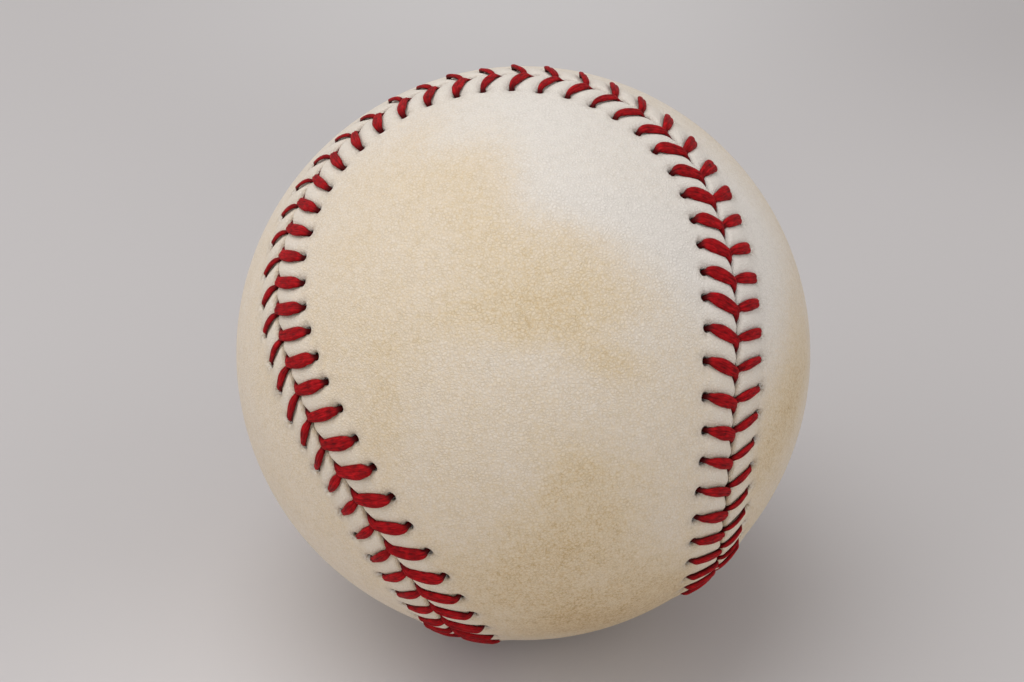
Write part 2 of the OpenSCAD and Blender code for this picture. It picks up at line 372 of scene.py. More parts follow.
def band(side, inside):
    """Rows of places beside the seam: along (radians), across (mm) and radius (mm)."""
    s = np.arange(COLUMNS) * PITCH / PER_STITCH
    rows = [(s, np.full(COLUMNS, x), COLUMNS) for x in FINE]
    along = np.array([r[0] for r in rows])
    across = np.array([r[1] for r in rows])
    drop = np.zeros_like(along)
    holes = np.arange(STITCHES) * PER_STITCH + round(STITCH_START * PER_STITCH)
    for a, b, ring, da, db in ring_moves():
        where = (holes + a) % COLUMNS
        along[HOLE_ROW + b, where] += da / BALL_R
        across[HOLE_ROW + b, where] += db
        if ring < 3:
            drop[HOLE_ROW + b, where] = {1: -0.55, 2: -0.06}[ring]
    if inside:
        return along, across, np.full_like(along, BALL_R - LEATHER)
    return along, across, BALL_R + leather_height(side, along, across) + drop


print(f"{COLUMNS} columns and {len(FINE)} fine rows on each side of the seam")

# %% Middle line of a panel and the joining of rows


def middle_line(side, s):
    """For each place along the seam, the point on the panel's middle line it looks to."""
    pole = np.array([0, 0, 1.0]) if side > 0 else np.array([0, 0, -1.0])
    first = AXIS.copy() if side < 0 else np.array([-AXIS[1], AXIS[0], -AXIS[2]])
    shift = 0.0 if side < 0 else QUARTER
    flat = unit(first * np.array([1, 1, 0]))
    reach = math.pi / 2 + LIFT
    r = (s - shift - LINK - ARC) % (2 * QUARTER)
    half = ((s - shift - LINK - ARC) % LENGTH) // (2 * QUARTER)
    share = np.clip(r / (QUARTER + 2 * LINK), 0, 1)
    angle = (share - 0.5) * 2 * reach
    sign = np.where(half == 0, 1.0, -1.0)
    points = np.cos(angle)[:, None] * pole - (np.sin(angle) * sign)[:, None] * flat
    return points @ WORLD.T


class Sheet:
    """Collects rows of points and the faces between them."""

    def __init__(self, side):
        self.side, self.points, self.faces, self.count = side, [], [], 0

    def row(self, directions, radius):
        start = self.count
        self.points.append(directions * np.broadcast_to(radius, len(directions))[:, None] * MM)
        self.count += len(directions)
        return np.arange(start, self.count)

    def face(self, corners, out):
        corners = corners if (self.side > 0) == out else corners[:, ::-1]
        self.faces.extend(corners.tolist())

    def join(self, near, far, out, skip=None):
        """Faces between two rows; the far row may have half as many points."""
        if len(near) == len(far):
            quads = np.stack([near, np.roll(near, -1), np.roll(far, -1), far], 1)
            self.face(quads if skip is None else quads[~skip], out)
            return
        a, b, c = near[0::2], near[1::2], np.roll(near[0::2], -1)
        d, e = far, np.roll(far, -1)
        for corners in ((a, b, d), (b, e, d), (b, c, e)):
            self.face(np.stack(corners, 1), out)

    def mesh(self, name, weld=2e-8):
        data = bpy.data.meshes.new(name)
        data.from_pydata(np.concatenate(self.points).tolist(), [], self.faces)
        work = bmesh.new()
        work.from_mesh(data)
        bmesh.ops.remove_doubles(work, verts=work.verts, dist=weld)
        work.to_mesh(data)
        work.free()
        data.shade_smooth()
        return data


def inner_rows(sheet, side, start_row, radius, out):
    """Carries a sheet on from a row of full columns to the panel's middle line."""
    s = np.arange(COLUMNS) * PITCH / PER_STITCH
    near = start_row
    for x, every in ((7.3, 2), (8.0, 4), (9.0, 4)):
        far = sheet.row(ground(s[::every], side * x), radius)
        sheet.join(near, far, out)
        near = far
    coarse = s[::4]
    a, b = ground(coarse, side * 9.0), middle_line(side, coarse)
    angle = np.arccos(np.clip(np.sum(a * b, 1), -1, 1))[:, None]
    for step in range(1, SLERP_ROWS + 1):
        t = step / SLERP_ROWS
        p = (np.sin((1 - t) * angle) * a + np.sin(t * angle) * b) / np.sin(angle)
        far = sheet.row(unit(p), radius)
        sheet.join(near, far, out)
        near = far


print("the middle line runs", round(math.degrees(math.pi + 2 * LIFT)), "degrees round the ball")

# %% Build both panels
RING_ONE = [(1, 0), (1, 1), (0, 1), (-1, 1), (-1, 0), (-1, -1), (0, -1), (1, -1)]


def panel_mesh(name, side):
    sheet = Sheet(side)
    s = np.arange(COLUMNS) * PITCH / PER_STITCH
    holes = np.arange(STITCHES) * PER_STITCH + round(STITCH_START * PER_STITCH)
    cut = np.zeros(COLUMNS, bool)
    cut[holes] = cut[(holes - 1) % COLUMNS] = True
    layers = {}
    for out in (True, False):
        along, across, radius = band(side, not out)
        rows = [sheet.row(ground(a, side * x), r) for a, x, r in zip(along, across, radius)]
        for j in range(len(rows) - 1):
            sheet.join(rows[j], rows[j + 1], out, cut if j in (HOLE_ROW - 1, HOLE_ROW) else None)
        inner_rows(sheet, side, rows[-1], BALL_R if out else BALL_R - LEATHER, out)
        layers[out] = rows
    gap = gap_half(s)
    far = sheet.row(ground(s, side * 0.35), BALL_R - LEATHER)
    sheet.join(far, layers[False][0], False)
    near = far
    for x, r in ((0.5 * (gap + 0.33), BALL_R - 0.75),):
        far = sheet.row(ground(s, side * x), r)
        sheet.join(near, far, True)
        near = far
    for share in EDGE:
        x = gap + (FINE[0] - gap) * share
        far = sheet.row(ground(s, side * x), BALL_R + leather_height(side, s, x))
        sheet.join(near, far, True)
        near = far
    sheet.join(near, layers[True][0], True)
    for (a, b), (c, d) in zip(RING_ONE, RING_ONE[1:] + RING_ONE[:1]):
        top_a = layers[True][HOLE_ROW + b][(holes + a) % COLUMNS]
        top_c = layers[True][HOLE_ROW + d][(holes + c) % COLUMNS]
        low_a = layers[False][HOLE_ROW + b][(holes + a) % COLUMNS]
        low_c = layers[False][HOLE_ROW + d][(holes + c) % COLUMNS]
        sheet.face(np.stack([top_a, top_c, low_c, low_a], 1), True)
    mesh = sheet.mesh(name)
    loose = bmesh.new()
    loose.from_mesh(mesh)
    bmesh.ops.delete(loose, geom=[v for v in loose.verts if not v.link_faces], context="VERTS")
    loose.to_mesh(mesh)
    loose.free()
    return mesh


def add_piece(name, mesh, node):
    piece = bpy.data.objects.new(name, mesh)
    bpy.context.scene.collection.objects.link(piece)
    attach(piece, "root")
    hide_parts(node)
    return piece


panels = []
for name, side in (("first_leather_cover", -1), ("second_leather_cover", 1)):
    node = name.replace("cover", "panel")
    panels.append(add_piece(name, panel_mesh(name, side), node))
    print(name, len(panels[-1].data.polygons), "faces")

# %% [markdown]
# ## The lacing threads
# Two long threads sew the ball, one in each needle. Each rises through a hole, crosses the
# leather to the gap, goes down it and under the other panel to the next hole there. A bevelled
# curve would make a round tube, but the real thread is two strands side by side, flat where it
# lies on the leather and round in the hole. So a section is swept along the way, and its
# half width, half height and the groove between the strands change from place to place.

# %% Way of one stitch of the thread
# Each line: mm ahead, mm across, mm over the ball, half width, half height, groove, points after it
AROUND = 22
SHARES = [4.15, 3.55, 2.9, 2.2, 1.5, 0.95, 0.55]
LEG_LEVEL = {1: [0.36, 0.40, 0.43, 0.44, 0.43, 0.40, 0.36], -1: [0.36, 0.40, 0.43, 0.43, 0.40, 0.32, 0.20]}
LEG_WIDTH = {1: [0.58, 0.71, 0.77, 0.77, 0.72, 0.64, 0.54], -1: [0.74, 0.78, 0.76, 0.72, 0.65, 0.56, 0.45]}
TAIL = {
    1: [(1.86, 0.24, 0.16, 0.44, 0.32, 0.2, 2), (2.16, 0.08, -0.02, 0.33, 0.30, 0.1, 2),
        (2.52, 0.00, -0.30, 0.28, 0.28, 0.0, 2), (2.96, -0.06, -0.74, 0.27, 0.27, 0.0, 1),
        (3.34, -0.30, -1.30, 0.28, 0.28, 0.0, 1), (3.42, -0.95, -1.74, 0.29, 0.29, 0.0, 1)],
    -1: [(1.24, 0.25, -0.10, 0.38, 0.30, 0.1, 2), (1.50, 0.04, -0.42, 0.30, 0.28, 0.0, 2),
         (1.85, -0.02, -0.80, 0.27, 0.27, 0.0, 2), (2.30, -0.10, -1.25, 0.27, 0.27, 0.0, 1),
         (2.75, -0.50, -1.66, 0.28, 0.28, 0.0, 1), (3.05, -1.20, LEVEL_UNDER, 0.29, 0.29, 0.0, 1)],
}


def stitch_way(side):
    """Control points of a stitch on one side, from its own hole to just before the next one."""
    hole = [(0.0, 4.70, -1.72, 0.29, 0.29, 0.0, 1), (0.0, 4.80, -1.25, 0.29, 0.29, 0.0, 1),
            (0.0, 4.80, -0.62, 0.31, 0.28, 0.0, 2), (0.0, 4.68, -0.14, 0.35, 0.28, 0.1, 2),
            (0.0, 4.48, 0.13, 0.48, 0.31, 0.18, 2)]
    leg = []
    for x, level, width in zip(SHARES, LEG_LEVEL[side], LEG_WIDTH[side]):
        leg.append((float(leg_forward(side, x)[0]), x, level, width, 0.36, 0.26, 3))
    under = [(3.50 if side > 0 else 3.35, -2.60, LEVEL_UNDER - 0.05, 0.29, 0.29, 0.0, 1),
             (PITCH_MM - 0.02, -4.20, LEVEL_UNDER - 0.02, 0.29, 0.29, 0.0, 1)]
    return np.array(hole + leg + TAIL[side] + under)


def sweep_points(side):
    """Points along a stitch, by a smooth line through the control points."""
    way = stitch_way(side)
    after = stitch_way(-side)[:2].copy()
    after[:, 0] += PITCH_MM
    after[:, 1] *= -1
    before = stitch_way(-side)[-1:].copy()
    before[:, 0] -= PITCH_MM
    before[:, 1] *= -1
    line = np.concatenate([before, way, after])
    out = []
    for i in range(1, len(way) + 1):
        p0, p1, p2, p3 = line[i - 1], line[i], line[i + 1], line[i + 2]
        for t in np.arange(int(way[i - 1][6])) / way[i - 1][6]:
            a = 2 * p1 + (p2 - p0) * t
            b = (2 * p0 - 5 * p1 + 4 * p2 - p3) * t * t + (3 * p1 - p0 - 3 * p2 + p3) * t**3
            out.append((a + b)[:6] / 2)
    return np.array(out)


print(len(sweep_points(1)), "sections on a stitch of the second panel,", len(sweep_points(-1)), "on the first")

# %% Sweep both threads
tug = np.random.default_rng(54)
LEG_SIZE = 1 + tug.normal(0, 0.04, (2, STITCHES))
LEG_RISE = tug.normal(0, 0.03, (2, STITCHES))
LEG_ROLL = tug.normal(0, 0.10, (2, STITCHES))
TAPER = np.clip(tug.normal(0.12, 0.10, (2, STITCHES)), 0, 0.4)
pulled = np.arange(STITCHES)
LEG_SIZE *= 1 - 0.25 * smooth((pulled - 58) / 5) * (1 - smooth((pulled - 73) / 5))
TAPER[0] += 0.45 * smooth((pulled - 40) / 4) * (1 - smooth((pulled - 66) / 4))
TAPER[0] += 0.45 * smooth((pulled - 82) / 5) * (1 - smooth((pulled - 94) / 4))
LEG_SIZE[0] *= 1 - 0.20 * smooth((pulled - 54) / 5) * (1 - smooth((pulled - 67) / 4))
LEG_SIZE[1] *= 1 + 0.05 * smooth((pulled - 46) / 3) * (1 - smooth((pulled - 57) / 4))
LEG_SIZE[0] *= 1 + 0.15 * smooth((pulled - 64) / 3) * (1 - smooth((pulled - 75) / 4))
TAPER[0] -= 0.20 * smooth((pulled - 64) / 3) * (1 - smooth((pulled - 78) / 4))
LEG_SIZE[0] *= 1 - 0.22 * smooth((pulled - 84) / 5) * (1 - smooth((pulled - 94) / 4))
LEG_SIZE[1] *= 1 + 0.12 * smooth((pulled - 83) / 4) * (1 - smooth((pulled - 94) / 4))
TAPER[1] -= 0.30 * smooth((pulled - 40) / 4) * (1 - smooth((pulled - 68) / 4))
TAPER[1] -= 0.30 * smooth((pulled - 73) / 3) * (1 - smooth((pulled - 82) / 4))
TAPER[1] += 0.25 * smooth((pulled - 83) / 4) * (1 - smooth((pulled - 96) / 4))
TUCK = tug.normal(0.04, 0.05, STITCHES) + 0.22 * smooth((pulled - 54) / 5) * (1 - smooth((pulled - 72) / 5))


def thread_mesh(name, first_side):
    places, sizes, marks = [], [], []
    for k in range(STITCHES):
        side = first_side if k % 2 == 0 else -first_side
        row = int(side > 0)
        p = sweep_points(side)
        on_top = smooth((p[:, 2] + 0.3) / 0.5)
        s = (STITCH_START - k) * PITCH - p[:, 0] / BALL_R
        sink = LEG_RISE[row, k] - 0.30 * TAPER[row, k] * smooth((p[:, 1] - 2.0) / 2.6)
        sink = sink - TUCK[k] * (1 - smooth((p[:, 1] - 0.1) / 0.8))
        level = BALL_R + p[:, 2] + sink * on_top
        places.append(ground(s, side * p[:, 1]) * level[:, None])
        size = p[:, 3:6].copy()
        size[:, :2] *= (1 + (LEG_SIZE[row, k] - 1) * on_top)[:, None]
        size[:, 0] *= 1 - TAPER[row, k] * on_top * smooth((p[:, 1] - 1.2) / 3.4)
        sizes.append(size)
        marks.append(np.stack([on_top * LEG_ROLL[row, k], np.arange(len(p)) == 0], 1))
    centre, size, mark = np.concatenate(places), np.concatenate(sizes), np.concatenate(marks)
    way = unit(np.roll(centre, -1, 0) - np.roll(centre, 1, 0))
    starts = np.append(np.flatnonzero(mark[:, 1]), len(centre))
    wide = np.zeros_like(centre)
    for a, b in zip(starts, starts[1:]):
        k = int(np.searchsorted(starts, a))
        s = (STITCH_START - k) * PITCH
        w = ground(s - 0.01, 0) - ground(s + 0.01, 0)
        for i in range(a, b):
            w = w - (w @ way[i]) * way[i]
            w = w / np.linalg.norm(w)
            wide[i] = w
        nxt = ground(s - PITCH - 0.01, 0) - ground(s - PITCH + 0.01, 0)
        last = way[b % len(centre)]
        nxt = unit(nxt - (nxt @ last) * last)
        w = unit(w - (w @ last) * last)
        turn = math.atan2(np.cross(w, nxt) @ last, w @ nxt)
        tail = np.clip((np.arange(b - a) - (b - a - 7)) / 7, 0, 1) * turn
        c, d = np.cos(tail)[:, None], np.sin(tail)[:, None]
        wide[a:b] = wide[a:b] * c + np.cross(way[a:b], wide[a:b]) * d
    high = np.cross(way, wide)
    c, d = np.cos(mark[:, :1]), np.sin(mark[:, :1])
    wide, high = wide * c + high * d, high * c - wide * d
    angle = np.arange(AROUND) * 2 * math.pi / AROUND
    angle = angle + 0.25 * np.sin(2 * angle)
    x = size[:, :1] * np.cos(angle)
    y = size[:, 1:2] * np.sin(angle)
    y = y * (1 - size[:, 2:3] * np.exp(-((np.cos(angle) / 0.22) ** 2)))
    points = centre[:, None] + x[..., None] * wide[:, None] + y[..., None] * high[:, None]
    rings, count = np.arange(len(centre)), len(centre)
    a = rings[:, None] * AROUND + np.arange(AROUND)
    b = np.roll(a, -1, 0)
    quads = np.stack([a, np.roll(a, -1, 1), np.roll(b, -1, 1), b], -1).reshape(-1, 4)
    mesh = bpy.data.meshes.new(name)
    mesh.from_pydata((points.reshape(-1, 3) * MM).tolist(), [], quads.tolist())
    mesh.shade_smooth()
    far = np.concatenate([[0], np.cumsum(np.linalg.norm(np.diff(centre, axis=0), axis=1))])
    outward = np.sign(np.sum(high * centre, 1))[:, None]
    strand = np.stack([x, y * outward, np.broadcast_to(far[:, None], x.shape)], -1)
    mark = mesh.attributes.new("strand", "FLOAT_VECTOR", "POINT")
    mark.data.foreach_set("vector", strand.reshape(-1).astype(np.float32))
    return mesh, far[-1]


threads = []
for name, first_side in (("first_lacing", -1), ("second_lacing", 1)):
    mesh, length = thread_mesh(name, first_side)
    threads.append(add_piece(name, mesh, name + "_thread"))
    print(f"{name}: {length / 1000:.2f} m of thread, {len(mesh.polygons)} faces")

# %% [markdown]
# ## The finishing winding
# Under the cover a thin cotton yarn is wound over the wool. The lacing needs room under the
# leather, so the yarn lies lower along the seam. The cover's own rows, coarser and a little
# deeper, follow that hollow exactly, which a plain sphere would not.

# %% Build the finishing winding
YARN_OUT, YARN_LOW, YARN_IN = BALL_R - LEATHER - 0.05, 34.38, BALL_R - LEATHER - 1.45
YARN_ROWS = [1.2, 2.4, 3.6, 4.8, 5.7, 6.2, 6.8]


def winding_mesh(name):
    sheet = Sheet(1)
    s = np.arange(0, COLUMNS, 4) * PITCH / PER_STITCH
    for out in (True, False):
        middle = sheet.row(ground(s, 0.0), YARN_LOW if out else YARN_IN)
        for side in (-1, 1):
            near, sheet.side = middle, side
            for x in YARN_ROWS:
                radius = YARN_LOW + (YARN_OUT - YARN_LOW) * float(smooth((x - 5.2) / 1.3))
                far = sheet.row(ground(s, side * x), radius if out else YARN_IN)
                sheet.join(near, far, out)
                near = far
            far = sheet.row(ground(s, side * 9.0), YARN_OUT if out else YARN_IN)
            sheet.join(near, far, out)
            a, b, near = ground(s, side * 9.0), middle_line(side, s), far
            angle = np.arccos(np.clip(np.sum(a * b, 1), -1, 1))[:, None]
            for step in range(1, SLERP_ROWS + 1):
                t = step / SLERP_ROWS
                p = (np.sin((1 - t) * angle) * a + np.sin(t * angle) * b) / np.sin(angle)
                far = sheet.row(unit(p), YARN_OUT if out else YARN_IN)
                sheet.join(near, far, out)
                near = far
    return sheet.mesh(name)


winding = add_piece("cotton_finishing_winding", winding_mesh("winding"), "finishing_winding")
print("finishing winding", len(winding.data.polygons), "faces")

# %% [markdown]
# ## Materials
# Every material starts from the real one. One helper adds a node with its settings and links;
# colours are written as sRGB hex values, the way a colour chart gives them.

# %% Helpers for materials


def srgb(hex_value):
    """An sRGB hex colour as the linear values that Blender works in."""
    parts = [int(hex_value[i : i + 2], 16) / 255 for i in (1, 3, 5)]
    return tuple(p / 12.92 if p <= 0.04045 else ((p + 0.055) / 1.055) ** 2.4 for p in parts) + (1.0,)


def add_node(material, kind, links=None, **settings):
    """Adds a node, sets its properties or input values and links its inputs."""
    tree = material.node_tree
    node = tree.nodes.new(kind)
    for name, value in settings.items():
        name = name.replace("_", " ") if name[0].isupper() else name
        if name in node.inputs:
            node.inputs[name].default_value = value
        else:
            setattr(node, name, value)
    for name, source in (links or {}).items():
        tree.links.new(source, node.inputs[name])
    return node


def new_material(name, roughness, **settings):
    material = bpy.data.materials.new(name)
    material.use_nodes = True
    shader = material.node_tree.nodes["Principled BSDF"]
    shader.inputs["Roughness"].default_value = roughness
    for key, value in settings.items():
        shader.inputs[key.replace("_", " ")].default_value = value
    return material, shader


def ramp(material, factor, *stops):
    """A colour ramp through (place, hex) stops."""
    node = add_node(material, "ShaderNodeValToRGB", {"Fac": factor})
    elements = node.color_ramp.elements
    while len(elements) < len(stops):
        elements.new(0.5)
    for element, (place, colour) in zip(elements, stops):
        element.position = place
        element.color = srgb(colour)
    return node.outputs["Color"]


def dress(objects, material):
    for item in objects:
        item.data.materials.clear()
        item.data.materials.append(material)


print("material helpers ready")

# %% [markdown]
# ## Full-grain cowhide
# The cover is white alum-tanned cowhide. It was cream from age and handling: skin oil leaves
# soft tan clouds where the ball is held, and the tops of the pillows stay whitest. The grain
# shows as fine pebbles about 0.5 mm wide. The clouds are placed by a few soft spots that are
# kept on the mesh as a number for each point; noise breaks their edges up.

# %% Where hands have stained the leather
# Pixel of the middle in the photograph, reach in mm along and across, turn in degrees, strength,
# and how crisp the edge is: 1 fades like breath on glass, 3 ends like a dried puddle
BASE_TAN = 0.42
CLOUDS = [
    (454, 182, 7.2, 5.6, 7, 0.40, 1.4),
    (547, 251, 12.6, 4.7, -11, 0.37, 1.6),
    (443, 275, 5.9, 3.3, 0, 0.15, 1.2),
    (536, 312, 11.6, 3.3, 5, 0.46, 1.5),
    (604, 354, 5.0, 2.3, -18, 0.57, 1.2),
    (382, 373, 3.7, 13.0, -14, 0.23, 1.1),
    (361, 230, 5.6, 18.3, -9, 0.21, 1.2),
    (596, 347, 5.5, 1.7, 3, -0.22, 1.5),
    (584, 465, 5.8, 2.3, -16, 0.30, 1.1),
    (570, 531, 8.4, 6.0, 10, 0.55, 1.1),
    (521, 532, 10.7, 4.1, -2, -0.19, 1.4),
    (617, 613, 24.1, 11.8, 1, 0.74, 1.0),
    (790, 400, 5.4, 12.6, -22, 0.66, 1.0),
    (262, 368, 4.2, 12.6, 16, 0.06, 1.0),
    (526, 112, 22.2, 18.8, -35, -0.45, 1.0),
    (686, 270, 6.4, 19.1, 58, -0.27, 1.3),
    (746, 230, 10.1, 13.7, 29, -0.43, 1.0),
    (519, 337, 2.7, 1.4, 19, 0.22, 3.0),
    (485, 176, 4.0, 10.7, -2, 0.14, 2.0),
    (553, 492, 1.3, 2.2, -28, 0.20, 2.4),
    (401, 152, 2.4, 6.3, -33, 0.16, 1.1),
    (564, 254, 6.4, 3.5, -2, 0.13, 3.3),
    (517, 417, 3.8, 8.5, 69, 0.08, 2.4),
    (661, 522, 11.6, 1.3, -40, -0.13, 1.2),
]


def seen(x, y):
    """Direction of the place on the ball that a pixel of the photograph shows."""
    ray = pixel_ray(x, y)
    near = -(EYE @ ray) - math.sqrt((EYE @ ray) ** 2 - EYE @ EYE + BALL_R**2)
    return unit(EYE + near * ray)


def spot(directions, middle, reach_x, reach_y, degrees, strength, crisp=1.0):
    """A soft oval spot on the ball, as a value at each direction."""
    across = unit(np.cross(UP, middle))
    upward = np.cross(middle, across)
    c, s = math.cos(math.radians(degrees)), math.sin(math.radians(degrees))
    a, b = directions @ (c * across + s * upward), directions @ (c * upward - s * across)
    spread = (a * BALL_R / reach_x) ** 2 + (b * BALL_R / reach_y) ** 2
    return strength * np.exp(-(spread**crisp)) * (directions @ middle > 0)


spots = [(seen(x, y), *rest) for x, y, *rest in CLOUDS]
wear = np.random.default_rng(5)
while len(spots) < len(CLOUDS) + 16:
    middle = unit(wear.normal(size=3))
    reach = wear.uniform(4, 13, 2)
    if middle @ unit(EYE) < -0.1:
        spots.append((middle, *reach, wear.uniform(0, 180), wear.choice([-0.22, 0.3, 0.45])))

for panel, side in zip(panels, (-1, 1)):
    data = panel.data
    points = np.empty(len(data.vertices) * 3, np.float32)
    data.vertices.foreach_get("co", points)
    points = points.reshape(-1, 3)
    tan = BASE_TAN + sum(spot(unit(points), *s) for s in spots)
    height = np.linalg.norm(points, axis=1) / MM - BALL_R
    holes = ground((STITCH_START - np.arange(STITCHES)) * PITCH, side * (HOLE_REACH + 0.35))
    away = np.arccos(np.clip(np.max(unit(points) @ holes.T, axis=1), -1, 1)) * BALL_R
    for label, values in (("tan", tan), ("height", height), ("rim", np.exp(-((away / 0.85) ** 2)))):
        data.attributes.new(label, "FLOAT", "POINT").data.foreach_set("value", values.astype(np.float32))
    print(panel.name, "tan from", round(float(tan.min()), 2), "to", round(float(tan.max()), 2), "and up to", round(float(height.max()), 2), "mm high")

# %% Cowhide material
GRAIN_MM = 0.38


def mixed(material, factor, below, above):
    """A mix of two colours; each may be a socket or a hex value."""
    node = add_node(material, "ShaderNodeMix", data_type="RGBA")
    for socket, value in ((node.inputs[0], factor), (node.inputs[6], below), (node.inputs[7], above)):
        if isinstance(value, str):
            socket.default_value = srgb(value)
        else:
            material.node_tree.links.new(value, socket)
    return node.outputs[2]


def between(material, value, low, high, top=1.0):
    """Runs from 0 to top as the value goes from low to high."""
    return add_node(material, "ShaderNodeMapRange", {"Value": value}, From_Min=low, From_Max=high, To_Max=top).outputs[0]


def times(material, a, b, operation="MULTIPLY"):
    node = add_node(material, "ShaderNodeMath", {0: a}, operation=operation)
    if isinstance(b, float):
        node.inputs[1].default_value = b
    else:
        material.node_tree.links.new(b, node.inputs[1])
    return node.outputs[0]


def alum_tanned_cowhide():
    m, shader = new_material("alum_tanned_cowhide", 0.55, IOR=1.45, Sheen_Weight=0.05, Sheen_Roughness=0.5)
    shader.inputs["Specular IOR Level"].default_value = 0.35
    place = add_node(m, "ShaderNodeTexCoord").outputs["Object"]
    tan, height, rim = (add_node(m, "ShaderNodeAttribute", attribute_name=name).outputs["Fac"] for name in ("tan", "height", "rim"))
    drift = add_node(m, "ShaderNodeTexNoise", {"Vector": place}, Scale=150.0, Detail=5.0, Roughness=0.6).outputs["Fac"]
    mottle = add_node(m, "ShaderNodeTexNoise", {"Vector": place}, Scale=900.0, Detail=4.0, Roughness=0.7).outputs["Fac"]
    fine = add_node(m, "ShaderNodeTexNoise", {"Vector": place}, Scale=2600.0, Detail=3.0, Roughness=0.65)
    bent = add_node(m, "ShaderNodeVectorMath", {0: fine.outputs["Color"], 2: place}, operation="MULTIPLY_ADD")
    bent.inputs[1].default_value = (0.0003, 0.0003, 0.0003)
    cells = add_node(m, "ShaderNodeTexVoronoi", {"Vector": bent.outputs[0]}, feature="DISTANCE_TO_EDGE", Scale=1 / (GRAIN_MM * MM), Randomness=1.0)
    crease = between(m, cells.outputs["Distance"], 0.15, 0.0)
    edge = times(m, between(m, drift, 0.2, 0.8, 0.7), between(m, mottle, 0.1, 0.9, 0.7), "ADD")
    cloudy = times(m, times(m, tan, times(m, edge, 0.7, "ADD")), 0.36)
    speck = between(m, fine.outputs["Fac"], 0.45, 0.63)
    grime = times(m, times(m, crease, 0.5), times(m, speck, 0.6), "ADD")
    soiled = times(m, cloudy, times(m, times(m, grime, 0.72), 0.93, "ADD"))
    soiled = times(m, soiled, times(m, grime, 0.06), "ADD")
    hide = ramp(m, soiled, (0.0, "#ECE5DD"), (0.28, "#E9D9C3"), (0.52, "#E4CFAD"), (0.76, "#D8BC8F"), (1.0, "#C39F69"))
    # Painted shade: the creases of the grain are darkened towards grey, as a low light would leave them.
    painted_crease_shade = times(m, between(m, cells.outputs["Distance"], 0.22, 0.0), between(m, mottle, 0.30, 0.70, 0.26))
    hide = mixed(m, painted_crease_shade, hide, "#9A9084")
    lifted = mixed(m, between(m, height, 0.06, 0.36, 0.40), hide, "#E8E0D6")
    # Dirt and painted shade round the holes: a brown tint on each hole's far side, partly grime and partly the shade at
    # its far edge.
    hole_dirt_and_shade = mixed(m, times(m, rim, between(m, mottle, 0.32, 0.62, 0.8)), lifted, "#7A5E42")
    # Dirt and painted shade in the depths: below the surface the walls of the holes and the gap turn dark brown.
    recess_dirt_and_shade = mixed(m, between(m, height, -0.16, -0.50), hole_dirt_and_shade, "#2A1A12")
    torn = mixed(m, times(m, rim, between(m, fine.outputs["Fac"], 0.48, 0.52, 0.75)), recess_dirt_and_shade, "#F2EDE6")
    m.node_tree.links.new(torn, shader.inputs["Base Color"])
    pebble = times(m, between(m, cells.outputs["Distance"], 0.0, 0.30), times(m, fine.outputs["Fac"], 1.1), "ADD")
    relief = times(m, pebble, times(m, mottle, 0.9), "ADD")
    bump = add_node(m, "ShaderNodeBump", {"Height": relief}, Strength=0.55, Distance=0.00010)
    m.node_tree.links.new(bump.outputs[0], shader.inputs["Normal"])
    return m


dress(panels, alum_tanned_cowhide())
print("cowhide with pebbles of", GRAIN_MM, "mm")

# %% [markdown]
# ## Waxed cotton thread
# The lacing is five-ply cotton thread, dyed red and drawn through wax. Wax lays the fibres
# flat, so the thread has a soft sheen along it and fine lines that turn slowly round it.

# %% Thread material


def waxed_cotton_thread():
    m, shader = new_material("waxed_cotton_thread", 0.55, IOR=1.45)
    shader.inputs["Specular IOR Level"].default_value = 0.14
    strand = add_node(m, "ShaderNodeAttribute", attribute_name="strand").outputs["Vector"]
    drawn = add_node(m, "ShaderNodeMapping", {"Vector": strand})
    drawn.inputs["Scale"].default_value = (6.5, 6.5, 1.1)
    fibre = add_node(m, "ShaderNodeTexNoise", {"Vector": drawn.outputs[0]}, Scale=1.0, Detail=3.0, Roughness=0.65).outputs["Fac"]
    wander = add_node(m, "ShaderNodeTexNoise", {"Vector": strand}, Scale=1.3, Detail=2.0).outputs["Fac"]
    tone = times(m, fibre, times(m, wander, 0.5), "ADD")
    red = ramp(m, tone, (0.50, "#580006"), (0.72, "#90020A"), (0.95, "#BC0E18"))
    spot_of = add_node(m, "ShaderNodeSeparateXYZ", {"Vector": strand})
    groove = times(m, add_node(m, "ShaderNodeMath", {0: spot_of.outputs[0]}, operation="ABSOLUTE").outputs[0], 1.0)
    # Painted shade: the groove between the two strands is darkened along the middle of the thread.
    painted_groove_shade = mixed(m, between(m, groove, 0.13, 0.0, 0.25), red, "#4A0008")
    shaded = mixed(m, between(m, spot_of.outputs[1], 0.10, -0.20, 0.75), painted_groove_shade, "#4A0008")
    place = add_node(m, "ShaderNodeTexCoord").outputs["Object"]
    out = add_node(m, "ShaderNodeVectorMath", {0: place}, operation="LENGTH").outputs["Value"]
    # Dirt and painted shade: the thread darkens as it sinks to the leather and goes into the holes and the gap.
    sunk_dirt_and_shade = mixed(m, between(m, out, (BALL_R + 0.46) * MM, BALL_R * MM, 0.8), shaded, "#2A0406")
    m.node_tree.links.new(sunk_dirt_and_shade, shader.inputs["Base Color"])
    bump = add_node(m, "ShaderNodeBump", {"Height": fibre}, Strength=0.6, Distance=0.00012)
    m.node_tree.links.new(bump.outputs[0], shader.inputs["Normal"])
    return m


dress(threads, waxed_cotton_thread())
print("red waxed thread on", len(threads), "threads")

# %% [markdown]
# ## Yarns, rubber and cork inside
# The layers inside can't be seen in a whole ball, but someone who takes the cover off will
# meet them. Yarn gets crossing bands of wound strands with fuzz; moulded rubber a dull skin
# with fine bloom; pressed cork its pale and dark granules.

# %% Wound yarn


